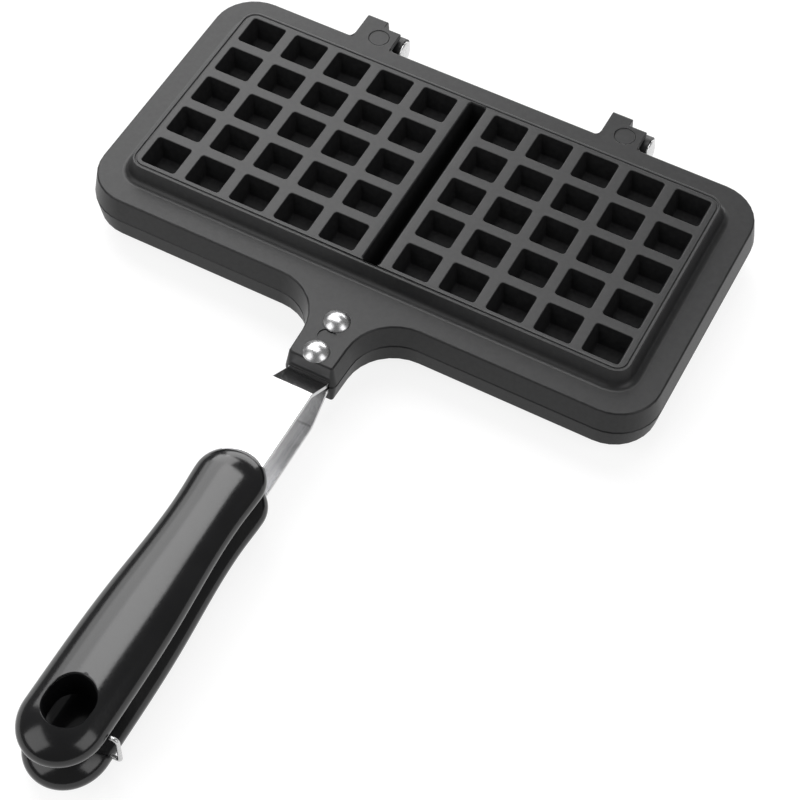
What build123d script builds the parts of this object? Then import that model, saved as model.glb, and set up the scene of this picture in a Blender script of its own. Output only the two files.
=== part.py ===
from build123d import *
from math import acos, atan2, cos, hypot, pi, radians, sin, tan
import os

# Stovetop waffle maker: two hinged grid plates on riveted steel straps with moulded grips.
# Each half is drawn with the parting plane at z = 0 and the middle of the plate at x = y = 0.
# The hinge is at the back (+Y) and the grips are at the front (-Y). All sizes are in millimetres.
# The two plates are the same casting: the lower one is the upper one turned over about the Y axis.
# Rounded corners and small round pieces are drawn as narrow flats, to keep the triangles few.

# Plate outline
PLATE_HALF_X = 120.3              # at the parting plane
PLATE_HALF_Y = 62.4
PLATE_CORNER_R = 19.0
RIM_TOP = 9.95
RIM_LEAN = 1.5                    # how far the rim wall leans in over its height
LAND_GAP = 0.1                    # the rim land stops this far from the parting plane
PARTING_CHAMFER = 0.4
RIM_TURN = 11.25                  # degrees from one flat to the next round the rim's corners

# Raised grid block on the outside of each plate
BLOCK_HALF_X = 105.3              # at its top
BLOCK_HALF_Y = 47.5
BLOCK_CORNER_R = 6.0
BLOCK_TOP = 16.9
BLOCK_LEAN = 2.4
COVE_R = 3.0
COVE_STEPS = 3
EDGE_LINE_WIDTH = 0.9             # raised line left outside the groove
EDGE_GROOVE_WIDTH = 0.7
EDGE_GROOVE_DEPTH = 0.5

# Grid of hollow pegs
GRID_COUNT = 5
PITCH_X = 19.5
PITCH_Y = 18.55
WAFFLE_CENTRE_X = 54.65
POCKET_MOUTH = (14.9, 14.1)
POCKET_FLOOR = (10.0, 9.2)
POCKET_CORNER = 0.8               # cut off each corner at the mouth, and nothing at the floor
POCKET_FLOOR_Z = 7.6
PEG_ROOT = (15.5, 14.7)
PEG_TIP = (12.6, 11.8)
PEG_TIP_Z = 4.6
CHANNEL_TOP = 12.4                # roof of the channels between the pegs

# Waffle cavity, and the ridge that parts the two waffles
CAVITY_MOUTH = (217.0, 102.6)
CAVITY_LEAN = 4.9
CAVITY_CORNER_R = 8.5             # at the mouth
RIDGE_ROOT = (10.4, 94.0)
RIDGE_CREST = (6.0, 104.5)
RIDGE_CREST_Z = 0.3
SLOT_MOUTH = (7.2, 91.0)          # hollow side of the ridge
SLOT_FLOOR = (2.8, 88.0)
SLOT_FLOOR_Z = 3.5

# Overflow channel in the rim land
GUTTER_INNER_HALF = (110.4, 53.4)
GUTTER_WIDTH = 4.0
GUTTER_INNER_R = 9.0
GUTTER_DEPTH = 4.5
GUTTER_DRAFT = 0.5

# Handle neck
NECK_ROOT_WIDTH = 23.0            # at the parting plane
NECK_END_WIDTH = 21.2
NECK_END_Y = -93.0
NECK_FILLET_R = 18.5
NECK_CORNER_R = 2.5
NECK_RECESS_WIDTH = 17.2
NECK_RECESS_ROOF = 2.9

# Round marks left in the casting: one between the rivets and one on each lug, past its knuckle
MARK_DEPTH = 0.15
NECK_MARK = (-79.2, 3.6)          # y and radius
LUG_MARK = (65.2, 4.2)
LUG_MARK_BEYOND = 0.7

# Small round pieces and their holes have this many sides, and other corners turn by this angle
ROUND_SIDES = 18
CORNER_TURN = 18

# Hinge
HINGE_Y = 70.3
KNUCKLE_R = 6.5
# Knuckles of the upper plate. Turned over, they leave 0.4 between the two plates' knuckles.
KNUCKLES = {"left": (-64.8, -55.5), "right": (46.3, 55.1)}
KNUCKLE_BACK_Y = 75.2
HOOD_LENGTH = 7.7
HOOD_BACK_Y = 71.2
HOOD_UNDERSIDE = 7.4
LUG_ROOT_Y = 57.6
LUG_WEB_R = 3.0
LUG_WEB_Y = 60.7
LUG_EDGE_R = 1.2
PIN_R = 2.5
PIN_CLEARANCE = 0.05
PIN_HEAD_R = 5.7
PIN_HEAD_EDGE = 0.8
PIN_HEAD_DOME = 1.6
PIN_TAIL_R = 3.6
PIN_TAIL_LENGTH = 1.1
PIN_END_PLAY = 0.1

# Strap
STRAP_WIDTH = 16.8
STRAP_THICKNESS = 1.8
STRAP_LOW_Z = 1.9                 # middle of the strap under the neck
STRAP_HIGH_Z = 10.1               # middle of the strap from its bend to the grip
STRAP_INNER_Y = -64.6
STRAP_BEND_LOW_Y = -94.0
STRAP_BEND_HIGH_Y = -105.6
STRAP_BEND_R = 3.5
TANG_SHOULDER_Y = -154.0
TANG_WIDTH = 12.0
TANG_END_Y = -188.0
SEAT_CLEARANCE = 0.15

# Rivets
RIVET_Y = {"front": -87.1, "back": -71.4}
RIVET_HEAD_R = 5.2
RIVET_HEAD_EDGE = 0.4
RIVET_HEAD_DOME = 2.6
RIVET_SHANK_R = 2.5
RIVET_CLEARANCE = 0.1
RIVET_TAIL_R = 4.0
RIVET_TAIL_THICKNESS = 0.75

# Grip: an oval bar whose half width is given along its length as (y, half width)
GRIP_Z = 8.5
GRIP_FRONT_Y = -137.2
GRIP_TAIL_Y = -272.6
GRIP_FRONT_BULGE = (-150.0, 13.4)
GRIP_WAIST = (-160.0, 12.9)
GRIP_BELLY = (-207.0, 14.6)
GRIP_TAIL_BULGE = (-256.0, 15.3)
GRIP_FLATNESS = 0.52              # half height over half width
GRIP_SIDES = 22
GRIP_SIDE_STEPS = 7
GRIP_END_STEPS = (12, 33, 60)     # degrees round the rounded ends, which are flat up to the first

# Hanging hole, through the upper grip only
HANG_HOLE_Y = -251.7
HANG_HOLE_WIDTH = 16.4
HANG_HOLE_LENGTH = 19.2
HANG_HOLE_CORNER_R = 8.0
HANG_HOLE_LIP = 1.2               # it widens by this much on each side over the last stretch
HANG_HOLE_LIP_Z = (14.6, 17.0)

# Grip screw
SCREW_Y = -168.0
SCREW_HEAD_R = 3.2
SCREW_HEAD_HEIGHT = 2.2
SCREW_SHANK_R = 1.7
SCREW_SEAT_Z = 5.4
SCREW_TIP_Z = 13.0
SCREW_CLEARANCE = 0.1
SCREW_CROSS_LENGTH = 4.0
SCREW_CROSS_WIDTH = 0.9
SCREW_CROSS_DEPTH = 1.1

# Wire latch: it turns in a cross hole of the lower grip and its foot hooks on the upper grip
WIRE_R = 0.8
WIRE_HOLE_CLEARANCE = 0.08
WIRE_Y = -253.4
WIRE_Z = 7.2                      # half the distance between its pivot and its foot
WIRE_ARM_X = 18.6
WIRE_FOOT_X = 15.7
WIRE_END_X = -15.7                # a small head here keeps the wire in its hole
WIRE_END_R = 1.5
WIRE_END_THICKNESS = 0.9
WIRE_BEND_R = 1.7
WIRE_BEND_STEPS = 4
WIRE_SIDES = 12
DIMPLE_R = 1.2
DIMPLE_DEPTH = 1.0

# The finished part stands on its lower grid block, with the middle of its length at y = 0
PLACE = Pos(0, -(GRIP_TAIL_Y + HINGE_Y + KNUCKLE_R)/2, BLOCK_TOP)


def box_corners(size):
    """Corners of a rectangle round the middle, anticlockwise."""
    x, y = size[0]/2, size[1]/2
    return [(x, y), (-x, y), (-x, -y), (x, -y)]


def unit(to, start):
    """Direction from one point to another in a plane."""
    step = (to[0] - start[0], to[1] - start[1])
    length = hypot(*step)
    return (step[0]/length, step[1]/length)


def rounded_ring(corners, radii, z, inset=0, turn=CORNER_TURN):
    """Points at a height round an anticlockwise outline with rounded corners, moved in by a distance."""
    ring = []
    for i, here in enumerate(corners):
        into = unit(here, corners[i - 1])
        away = unit(corners[(i + 1) % len(corners)], here)
        side = 1 if into[0]*away[1] > into[1]*away[0] else -1
        angle = acos(into[0]*away[0] + into[1]*away[1])
        inward = unit(away, into)
        reach = radii[i]/cos(angle/2)
        centre = (here[0] + reach*inward[0], here[1] + reach*inward[1])
        steps = max(1, round(angle/radians(turn)))
        start = atan2(-side*into[0], side*into[1])
        for step in range(steps + 1):
            a = start + side*angle*step/steps
            radius = radii[i] - side*inset
            ring.append((centre[0] + radius*cos(a), centre[1] + radius*sin(a), z))
    return ring


def rounded_block(size, radius, profile):
    """Solid on a rounded rectangle, with a profile of (distance in from the outline, height)."""
    return faceted([rounded_ring(box_corners(size), 4*[radius], z, inset) for inset, z in profile])


def faceted(rings):
    """Solid with flat faces from each ring of points to the next, closed at both ends."""
    outlines = [rings[0], rings[-1]]
    for low, high in zip(rings, rings[1:]):
        for i in range(len(low)):
            outlines.append([low[i - 1], low[i], high[i], high[i - 1]])
    faces = []
    for outline in outlines:
        points = list(dict.fromkeys(outline))
        if len(points) > 2:
            faces.append(Face(Wire.make_polygon(points)))
    return Solid(Shell(faces))


def cut_corners(size, z, cut):
    """Points of a rectangle at a height, with its corners cut off."""
    ring = []
    for x, y in box_corners(size):
        along_x = (x - cut if x > 0 else x + cut, y, z)
        along_y = (x, y - cut if y > 0 else y + cut, z)
        ring += [along_y, along_x] if x*y > 0 else [along_x, along_y]
    return ring


def tapered(size_a, z_a, size_b, z_b, cut=0, beyond=0):
    """Flat-sided taper between two heights, its corners cut off at z_a, carried on past z_a by a little."""
    step = beyond/abs(z_a - z_b)
    size = [a + (a - b)*step for a, b in zip(size_a, size_b)]
    start = cut_corners(size, z_a + (z_a - z_b)*step, cut*(1 + step))
    return faceted([start, cut_corners(size_b, z_b, 0)])


def turned(profile, sides=ROUND_SIDES):
    """Many-sided body round the Z axis, with a profile of (radius, height) from bottom to top."""
    angles = [2*pi*(i + 0.5)/sides for i in range(sides)]
    return faceted([[(r*cos(a), r*sin(a), z) for a in angles] for r, z in profile])


def on_x(x, y, z, radius, length):
    """Round bar along X that starts at x."""
    return Plane(origin=(x, y, z), x_dir=(0, 1, 0), z_dir=(1, 0, 0))*Cylinder(
        radius, length, align=(Align.CENTER, Align.CENTER, Align.MIN))


def on_z(x, y, z_low, z_high, radius):
    return Pos(x, y, 0)*turned([(radius, z_low), (radius, z_high)])


def grid_places():
    """Middles of all the pegs of one plate."""
    middle = (GRID_COUNT - 1)/2
    places = []
    for side in (-1, 1):
        for column in range(GRID_COUNT):
            for row in range(GRID_COUNT):
                x = side*WAFFLE_CENTRE_X + (column - middle)*PITCH_X
                places.append(Pos(x, (row - middle)*PITCH_Y, 0))
    return places


def pocket():
    """Hollow of one peg, seen from outside the plate."""
    return tapered(POCKET_MOUTH, BLOCK_TOP, POCKET_FLOOR, POCKET_FLOOR_Z, POCKET_CORNER, beyond=0.5)


def peg():
    """Solid outside of one peg, from inside its root down to its tip."""
    return tapered(PEG_ROOT, CHANNEL_TOP, PEG_TIP, PEG_TIP_Z, beyond=0.5)


def rim():
    """Rim slab with the handle neck, its wall leaning in towards the top."""
    half_root = NECK_ROOT_WIDTH/2
    half_end = NECK_END_WIDTH/2
    corners = [
        (-PLATE_HALF_X, -PLATE_HALF_Y), (-half_root, -PLATE_HALF_Y), (-half_end, NECK_END_Y),
        (half_end, NECK_END_Y), (half_root, -PLATE_HALF_Y), (PLATE_HALF_X, -PLATE_HALF_Y),
        (PLATE_HALF_X, PLATE_HALF_Y), (-PLATE_HALF_X, PLATE_HALF_Y)]
    radii = [PLATE_CORNER_R, NECK_FILLET_R, NECK_CORNER_R]
    radii += radii[::-1] + 2*[PLATE_CORNER_R]
    profile = [(PARTING_CHAMFER, LAND_GAP), (0, LAND_GAP + PARTING_CHAMFER), (RIM_LEAN, RIM_TOP)]
    return faceted([rounded_ring(corners, radii, z, inset, RIM_TURN) for inset, z in profile])


def grid_block():
    """Raised block with leaning walls and a hollow foot, down into the rim slab."""
    turn = pi/2 - atan2(BLOCK_LEAN, BLOCK_TOP - RIM_TOP)
    foot = BLOCK_LEAN + COVE_R*tan(turn/2)
    profile = [(-foot, RIM_TOP - 1)]
    for step in range(COVE_STEPS + 1):
        a = turn*step/COVE_STEPS
        profile.append((COVE_R*sin(a) - foot, RIM_TOP + COVE_R*(1 - cos(a))))
    profile.append((0, BLOCK_TOP))
    return rounded_block((2*BLOCK_HALF_X, 2*BLOCK_HALF_Y), BLOCK_CORNER_R, profile)


def lug(side):
    """Knuckle block of the upper plate with the hood that covers its neighbour."""
    start, end = KNUCKLES[side]
    block = Polygon(
        (LUG_ROOT_Y, LAND_GAP), (HINGE_Y, LAND_GAP), (HINGE_Y, 0), (HINGE_Y + KNUCKLE_R, 0),
        (KNUCKLE_BACK_Y, RIM_TOP), (LUG_ROOT_Y, RIM_TOP), align=None)
    block = fillet(block.vertices().sort_by(lambda v: v.X + v.Y)[-1:], LUG_EDGE_R)
    block += Pos(HINGE_Y, 0)*Circle(KNUCKLE_R)
    across = Plane(origin=(start, 0, 0), x_dir=(0, 1, 0), z_dir=(1, 0, 0))
    solid = extrude(across*block, end - start)
    hood_low = (end - 1, LUG_ROOT_Y, HOOD_UNDERSIDE)
    hood_size = (HOOD_LENGTH + 1, HOOD_BACK_Y - LUG_ROOT_Y, RIM_TOP - HOOD_UNDERSIDE)
    solid += Pos(*hood_low)*Box(*hood_size, align=(Align.MIN, Align.MIN, Align.MIN))
    solid += lug_web(start, -1, LAND_GAP)
    solid += lug_web(end + HOOD_LENGTH, 1, HOOD_UNDERSIDE)
    return solid


def lug_web(x, direction, bottom):
    """Hollow corner between a lug's side and the rim."""
    middle = (x + direction*LUG_WEB_R/2, LUG_WEB_Y + LUG_WEB_R/2 - 0.5)
    centre = (x + direction*LUG_WEB_R, LUG_WEB_Y + LUG_WEB_R)
    web = Pos(*middle)*Rectangle(LUG_WEB_R, LUG_WEB_R + 1) - Pos(*centre)*Circle(LUG_WEB_R)
    return extrude(Pos(0, 0, bottom)*web, RIM_TOP - bottom)


def gutter():
    """Overflow channel round the cavity, in the rim land."""
    inner = (2*GUTTER_INNER_HALF[0], 2*GUTTER_INNER_HALF[1])
    wide = rounded_block(
        inner, GUTTER_INNER_R, [(-GUTTER_WIDTH, 0), (GUTTER_DRAFT - GUTTER_WIDTH, GUTTER_DEPTH)])
    core = rounded_block(inner, GUTTER_INNER_R, [(0, 0), (-GUTTER_DRAFT, GUTTER_DEPTH)])
    return wide - core


def edge_groove():
    """Fine groove that sets off a raised line along the edge of the grid block."""
    line = (2*(BLOCK_HALF_X - EDGE_LINE_WIDTH), 2*(BLOCK_HALF_Y - EDGE_LINE_WIDTH))
    line_r = BLOCK_CORNER_R - EDGE_LINE_WIDTH
    low, high = BLOCK_TOP - EDGE_GROOVE_DEPTH, BLOCK_TOP + 1
    outside = rounded_block(line, line_r, [(0, low), (0, high)])
    return outside - rounded_block(line, line_r, [(EDGE_GROOVE_WIDTH, low), (EDGE_GROOVE_WIDTH, high)])


def neck_recess():
    """Seat for the strap on the mating side of the neck, open at the neck's end."""
    front = NECK_END_Y - 5
    back = STRAP_INNER_Y + SEAT_CLEARANCE
    seat = Pos(0, (front + back)/2)*Rectangle(NECK_RECESS_WIDTH, back - front)
    return extrude(Pos(0, 0, -1)*seat, NECK_RECESS_ROOF + 1)


def plate():
    """One casting, drawn as the upper plate."""
    body = rim() + [grid_block(), lug("left"), lug("right")]
    body -= rounded_block(CAVITY_MOUTH, CAVITY_CORNER_R, [(0, 0), (CAVITY_LEAN, CHANNEL_TOP)])
    ridge = tapered(RIDGE_ROOT, CHANNEL_TOP, RIDGE_CREST, RIDGE_CREST_Z, beyond=0.5)
    one_peg = peg()
    one_pocket = pocket()
    places = grid_places()
    body += [ridge] + [place*one_peg for place in places]
    slot = tapered(SLOT_MOUTH, BLOCK_TOP, SLOT_FLOOR, SLOT_FLOOR_Z, beyond=0.5)
    body -= [slot] + [place*one_pocket for place in places]
    cuts = [gutter(), edge_groove(), neck_recess()]
    for y in RIVET_Y.values():
        cuts.append(on_z(0, y, -1, RIM_TOP + 1, RIVET_SHANK_R + RIVET_CLEARANCE))
    for start, end in KNUCKLES.values():
        cuts.append(on_x(start - 1, HINGE_Y, 0, PIN_R + PIN_CLEARANCE, end - start + 2))
    marks = [(0, *NECK_MARK)] + [(end + LUG_MARK_BEYOND, *LUG_MARK) for start, end in KNUCKLES.values()]
    for x, y, radius in marks:
        cuts.append(on_z(x, y, RIM_TOP - MARK_DEPTH, RIM_TOP + 1, radius))
    return body - cuts


def strap():
    """Flat steel strip, cranked away from its twin, with a narrow tang inside the grip."""
    start = (STRAP_INNER_Y, STRAP_LOW_Z)
    low = (STRAP_BEND_LOW_Y, STRAP_LOW_Z)
    high = (STRAP_BEND_HIGH_Y, STRAP_HIGH_Z)
    end = (TANG_END_Y, STRAP_HIGH_Z)
    path = FilletPolyline(start, low, high, end, radius=STRAP_BEND_R)
    side_view = trace(path, line_width=STRAP_THICKNESS)
    along = Plane(origin=(-STRAP_WIDTH/2, 0, 0), x_dir=(0, 1, 0), z_dir=(1, 0, 0))
    strip = extrude(along*side_view, STRAP_WIDTH)
    shoulder_length = TANG_SHOULDER_Y - TANG_END_Y
    for side in (-1, 1):
        x = side*(TANG_WIDTH + STRAP_WIDTH)/4
        corner = Box((STRAP_WIDTH - TANG_WIDTH)/2, shoulder_length, 2*STRAP_THICKNESS)
        strip -= Pos(x, TANG_END_Y + shoulder_length/2, STRAP_HIGH_Z)*corner
    holes = [on_z(0, y, 0, 2*STRAP_LOW_Z, RIVET_SHANK_R + RIVET_CLEARANCE) for y in RIVET_Y.values()]
    holes.append(on_z(0, SCREW_Y, STRAP_LOW_Z, 2*STRAP_HIGH_Z, SCREW_SHANK_R + SCREW_CLEARANCE))
    return strip - holes


def domed_head(radius, edge, dome, z):
    """Profile of a domed head from its underside up, as (radius, height)."""
    sphere_r = (radius**2 + dome**2)/(2*dome)
    centre = z + edge + dome - sphere_r
    profile = [(radius, z)]
    for share in (1, 0.78, 0.4):
        profile.append((share*radius, centre + (sphere_r**2 - (share*radius)**2)**0.5))
    return profile


def rivet(y):
    """Domed rivet through the neck and the strap, set over flat underneath."""
    tail_top = STRAP_LOW_Z - STRAP_THICKNESS/2
    profile = [
        (RIVET_TAIL_R, tail_top - RIVET_TAIL_THICKNESS), (RIVET_TAIL_R, tail_top),
        (RIVET_SHANK_R, tail_top), (RIVET_SHANK_R, RIM_TOP)]
    profile += domed_head(RIVET_HEAD_R, RIVET_HEAD_EDGE, RIVET_HEAD_DOME, RIM_TOP)
    return Pos(0, y, 0)*turned(profile)


def hinge_pin(side):
    """Hinge pin through both knuckles, domed at its right-hand end and set over at the left."""
    start, end = KNUCKLES[side]
    other = "right" if side == "left" else "left"
    far_end = -KNUCKLES[other][0]
    left_face = min(start, -KNUCKLES[other][1]) - PIN_END_PLAY
    length = far_end - left_face
    along = Plane(origin=(left_face, HINGE_Y, 0), x_dir=(0, 1, 0), z_dir=(1, 0, 0))
    head = turned(domed_head(PIN_HEAD_R, PIN_HEAD_EDGE, PIN_HEAD_DOME, length))
    tail = turned([(PIN_TAIL_R, -PIN_TAIL_LENGTH), (PIN_TAIL_R, 0)])
    return along*head + along*tail + on_x(left_face - 0.5, HINGE_Y, 0, PIN_R, length + 1)


def grip_outline():
    """Half width along the grip as (y, half width), from its front to its tail."""
    front, tail = GRIP_FRONT_BULGE, GRIP_TAIL_BULGE
    reach = cos(radians(GRIP_END_STEPS[0]))
    turn = [(cos(radians(a))/reach, sin(radians(a))) for a in GRIP_END_STEPS]
    nose = [(front[0] + (GRIP_FRONT_Y - front[0])*c, front[1]*s) for c, s in turn]
    end = [(tail[0] + (GRIP_TAIL_Y - tail[0])*c, tail[1]*s) for c, s in turn]
    side = Spline(front, GRIP_WAIST, GRIP_BELLY, tail, tangents=[(-1, 0), (-1, 0)])
    middle = [side @ (i/GRIP_SIDE_STEPS) for i in range(GRIP_SIDE_STEPS + 1)]
    return nose + [(p.X, p.Y) for p in middle] + end[::-1]


def grip_bar():
    """Outside of the upper grip: an oval bar that swells and narrows along its length."""
    rings = []
    for y, half in grip_outline():
        angles = [2*pi*(i + 0.5)/GRIP_SIDES for i in range(GRIP_SIDES)]
        rings.append([(half*cos(a), y, GRIP_Z + half*GRIP_FLATNESS*sin(a)) for a in angles])
    return faceted(rings)


def grip():
    """Upper grip with the seat for the strap and the hole for the screw."""
    seat_height = STRAP_THICKNESS + 2*SEAT_CLEARANCE
    mouth_length = GRIP_FRONT_Y - TANG_SHOULDER_Y + 1
    mouth_y = TANG_SHOULDER_Y - SEAT_CLEARANCE + mouth_length/2
    cuts = [Pos(0, mouth_y, STRAP_HIGH_Z)*Box(NECK_RECESS_WIDTH, mouth_length, seat_height)]
    tang_length = TANG_SHOULDER_Y - TANG_END_Y + 2
    tang_y = TANG_END_Y - SEAT_CLEARANCE + tang_length/2
    cuts.append(Pos(0, tang_y, STRAP_HIGH_Z)*Box(TANG_WIDTH + 2*SEAT_CLEARANCE, tang_length, seat_height))
    cuts.append(on_z(0, SCREW_Y, 0, SCREW_SEAT_Z, SCREW_HEAD_R + SCREW_CLEARANCE))
    cuts.append(on_z(0, SCREW_Y, 0, SCREW_TIP_Z + 0.5, SCREW_SHANK_R + SCREW_CLEARANCE))
    return grip_bar() - cuts


def hanging_hole():
    """Slot-shaped hole down through the upper grip, wider at its mouth."""
    low, high = HANG_HOLE_LIP_Z
    profile = [(0, -1), (0, low), (-HANG_HOLE_LIP, high)]
    return Pos(0, HANG_HOLE_Y)*rounded_block((HANG_HOLE_WIDTH, HANG_HOLE_LENGTH), HANG_HOLE_CORNER_R, profile)


def latch_hole():
    """Hole through the lower grip, from flank to flank, that the latch wire turns in."""
    half = GRIP_TAIL_BULGE[1] + 2
    return on_x(-half, WIRE_Y, WIRE_Z, WIRE_R + WIRE_HOLE_CLEARANCE, 2*half)


def grip_screw():
    """Cross-head screw from the inner face of the upper grip through the tang."""
    head_bottom = SCREW_SEAT_Z - SCREW_HEAD_HEIGHT
    solid = on_z(0, SCREW_Y, head_bottom, SCREW_SEAT_Z, SCREW_HEAD_R)
    solid += on_z(0, SCREW_Y, SCREW_SEAT_Z, SCREW_TIP_Z, SCREW_SHANK_R)
    bar = Box(SCREW_CROSS_LENGTH, SCREW_CROSS_WIDTH, 2*SCREW_CROSS_DEPTH)
    cross = bar + Rot(0, 0, 90)*bar
    return solid - Pos(0, SCREW_Y, head_bottom)*cross


def latch_wire():
    """Bent wire: a pivot through the lower grip, an arm up its right flank and a foot turned in."""
    route = [(WIRE_END_X, -WIRE_Z)]
    for corner_z, first in ((-WIRE_Z, -90), (WIRE_Z, 0)):
        centre = (WIRE_ARM_X - WIRE_BEND_R, corner_z - WIRE_BEND_R*(1 if corner_z > 0 else -1))
        for step in range(WIRE_BEND_STEPS + 1):
            angle = radians(first + 90*step/WIRE_BEND_STEPS)
            route.append((centre[0] + WIRE_BEND_R*cos(angle), centre[1] + WIRE_BEND_R*sin(angle)))
    route.append((WIRE_FOOT_X, WIRE_Z))
    rings = []
    for i, point in enumerate(route):
        before = route[max(i - 1, 0)]
        after = route[min(i + 1, len(route) - 1)]
        into = unit(point, before) if i else unit(after, point)
        away = unit(after, point) if i < len(route) - 1 else into
        across = (into[1] + away[1], -into[0] - away[0])
        stretch = 2*WIRE_R/(across[0]**2 + across[1]**2)
        angles = [2*pi*(k + 0.5)/WIRE_SIDES for k in range(WIRE_SIDES)]
        rings.append([
            (point[0] + across[0]*stretch*cos(a), WIRE_Y + WIRE_R*sin(a),
             point[1] + across[1]*stretch*cos(a)) for a in angles])
    head_plane = Plane(origin=(WIRE_END_X, WIRE_Y, -WIRE_Z), x_dir=(0, 1, 0), z_dir=(1, 0, 0))
    head = head_plane*turned([(WIRE_END_R, -WIRE_END_THICKNESS), (WIRE_END_R, 0)], WIRE_SIDES)
    return faceted(rings) + head


def turned_over(solid):
    """The same piece on the other half."""
    return Rot(0, 180, 0)*solid


def build_pieces():
    """Every piece in its place, by node name."""
    upper_plate = plate()
    upper_strap = strap()
    plain_grip = grip()
    screw = grip_screw()
    dimple = on_x(GRIP_TAIL_BULGE[1] - DIMPLE_DEPTH, WIRE_Y, WIRE_Z, DIMPLE_R, 2*DIMPLE_DEPTH)
    pieces = {
        "upper_plate": upper_plate,
        "lower_plate": turned_over(upper_plate),
        "upper_strap": upper_strap,
        "lower_strap": turned_over(upper_strap),
        "upper_grip": plain_grip - [hanging_hole(), dimple],
        "lower_grip": turned_over(plain_grip - latch_hole()),
        "upper_grip_screw": screw,
        "lower_grip_screw": turned_over(screw),
        "left_hinge_pin": hinge_pin("left"),
        "right_hinge_pin": hinge_pin("right"),
        "latch_wire": latch_wire(),
    }
    for name, y in RIVET_Y.items():
        one = rivet(y)
        pieces["upper_rivet_" + name] = one
        pieces["lower_rivet_" + name] = turned_over(one)
    return pieces


os.makedirs("parts", exist_ok=True)
for node, piece in build_pieces().items():
    export_step(PLACE*piece, f"parts/{node}.step")
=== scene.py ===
from itertools import product
from math import atan, cos, degrees, pi, radians, sin, tan

import bmesh
import bpy
import numpy as np
from mathutils import Matrix, Vector


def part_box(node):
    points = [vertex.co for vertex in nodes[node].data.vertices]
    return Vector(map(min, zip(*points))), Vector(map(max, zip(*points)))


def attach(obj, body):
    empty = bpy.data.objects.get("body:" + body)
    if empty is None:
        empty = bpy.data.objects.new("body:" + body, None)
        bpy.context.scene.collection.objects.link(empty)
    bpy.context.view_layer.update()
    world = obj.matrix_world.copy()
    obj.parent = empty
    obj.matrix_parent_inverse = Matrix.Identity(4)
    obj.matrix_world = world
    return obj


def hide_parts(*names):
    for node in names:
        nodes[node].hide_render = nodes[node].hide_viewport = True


# Looks of the stovetop waffle maker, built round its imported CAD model. Sizes are in metres,
# apart from the casting's, which are in millimetres from the plate's middle at the parting plane.

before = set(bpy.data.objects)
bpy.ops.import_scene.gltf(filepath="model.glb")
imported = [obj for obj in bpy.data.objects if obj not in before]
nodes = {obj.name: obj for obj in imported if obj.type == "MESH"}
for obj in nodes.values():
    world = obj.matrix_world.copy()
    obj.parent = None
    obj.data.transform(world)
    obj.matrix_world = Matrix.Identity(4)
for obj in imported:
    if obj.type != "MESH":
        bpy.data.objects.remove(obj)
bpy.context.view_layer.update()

MM = 0.001
HALVES = ("upper", "lower")

# Casting, drawn as the upper plate
RIM_TOP = 9.95
BLOCK_HALF = (105.3, 47.5)        # raised grid block, at its top
BLOCK_TOP = 16.9
BLOCK_CORNER = 6.0
BLOCK_CORNER_STEPS = 5
BLOCK_EDGE_R = 0.4
BLOCK_EDGE_STEPS = 4
BLOCK_LEAN = 2.4                  # how far its walls lean in
COVE_R = 3.0                      # fillet at its foot
COVE_STEPS = 6
LINE_WIDTH = 0.9                  # raised line along the block's edge, and the groove inside it
GROOVE_WIDTH = 0.7
GROOVE_DEPTH = 0.45
GROOVE_EDGE = 0.2                 # rounding of its upper edges, and how deep its middle lies
GROOVE_EDGE_MIDDLE = 0.06
GROOVE_FOOT = (0.12, 0.15)        # slope at its floor, across and up
POCKET = dict(
    mouth=(14.9, 14.1), floor=(10.0, 9.2), floor_z=7.6, corner=1.2, edge_r=0.4, floor_r=0.8)
SLOT = dict(
    mouth=(7.2, 91.0), floor=(2.8, 88.0), floor_z=3.5, corner=1.2, edge_r=0.75, floor_r=0.6)
HOLLOW_EDGE_STEPS = 3
HOLLOW_FLOOR_STEPS = 4
HOLLOW_CORNER_STEPS = 4
WAFFLE_CENTRE_X = 54.65
PITCH = (19.5, 18.55)
MARK_DEPTH = 0.15                 # round marks on the neck and on the lugs, in the CAD model
MARK_DEEPER = 0.3                 # how much deeper the neck's mark is here
HINGE_Y = 70.3
KNUCKLE_R = 6.5

# Zones of the casting, by which its edges and faces are told apart
SAME_LEVEL = 0.02
NEAR_PARTING = 0.2                # edges lower than this are at the parting plane
LUG_START_Y = 62.9
BORE_REACH = 3.2                  # from the hinge's axis
NECK_HALF_X = 9                   # middle of the neck, rounded at its end alone
NECK_START_Y = -64
NECK_END_Y = -90
CAVITY_HALF = (108.4, 51.2)
RIDGE_HALF_X = 6
PEG_FOOT = 12.3                   # just below the foot of the pegs
GUTTER_INNER = (109, 52)
GUTTER_OUTER = (115, 58)
SIDES_START = (112, 56)

# Rounding of the edges, in millimetres
TOP_EDGE_R = 0.7
PEG_EDGE_R = 0.5
FINE_EDGE_R = 0.3
STRAP_EDGE_R = 0.25
STRAP_BEND_R = 1.5

# Limits that tell edges and faces apart
CASTING_EDGE_DEGREES = 28
STRAP_EDGE_DEGREES = 60
STRAP_BEND_DEGREES = 8
STRAP_BEND_WIDTH = 8*MM
HOLE_EDGE_DEGREES = 25
OTHER_EDGE_DEGREES = 52
LEVEL_NORMAL = 0.9                # a level face's normal points up more than this
UPRIGHT_NORMAL = 0.3              # an upright face's normal points up or down less than this
DOWNWARD_NORMAL = -0.01           # a face looks down if its normal's height is below this

# How dull the coating is, from 0 to 1; on the lower casting's sides it is painted shade that cuts
# their reflections down
CASTING_DULL = 0.2
LOWER_SIDES_PAINTED_SHADE = 0.75

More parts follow.
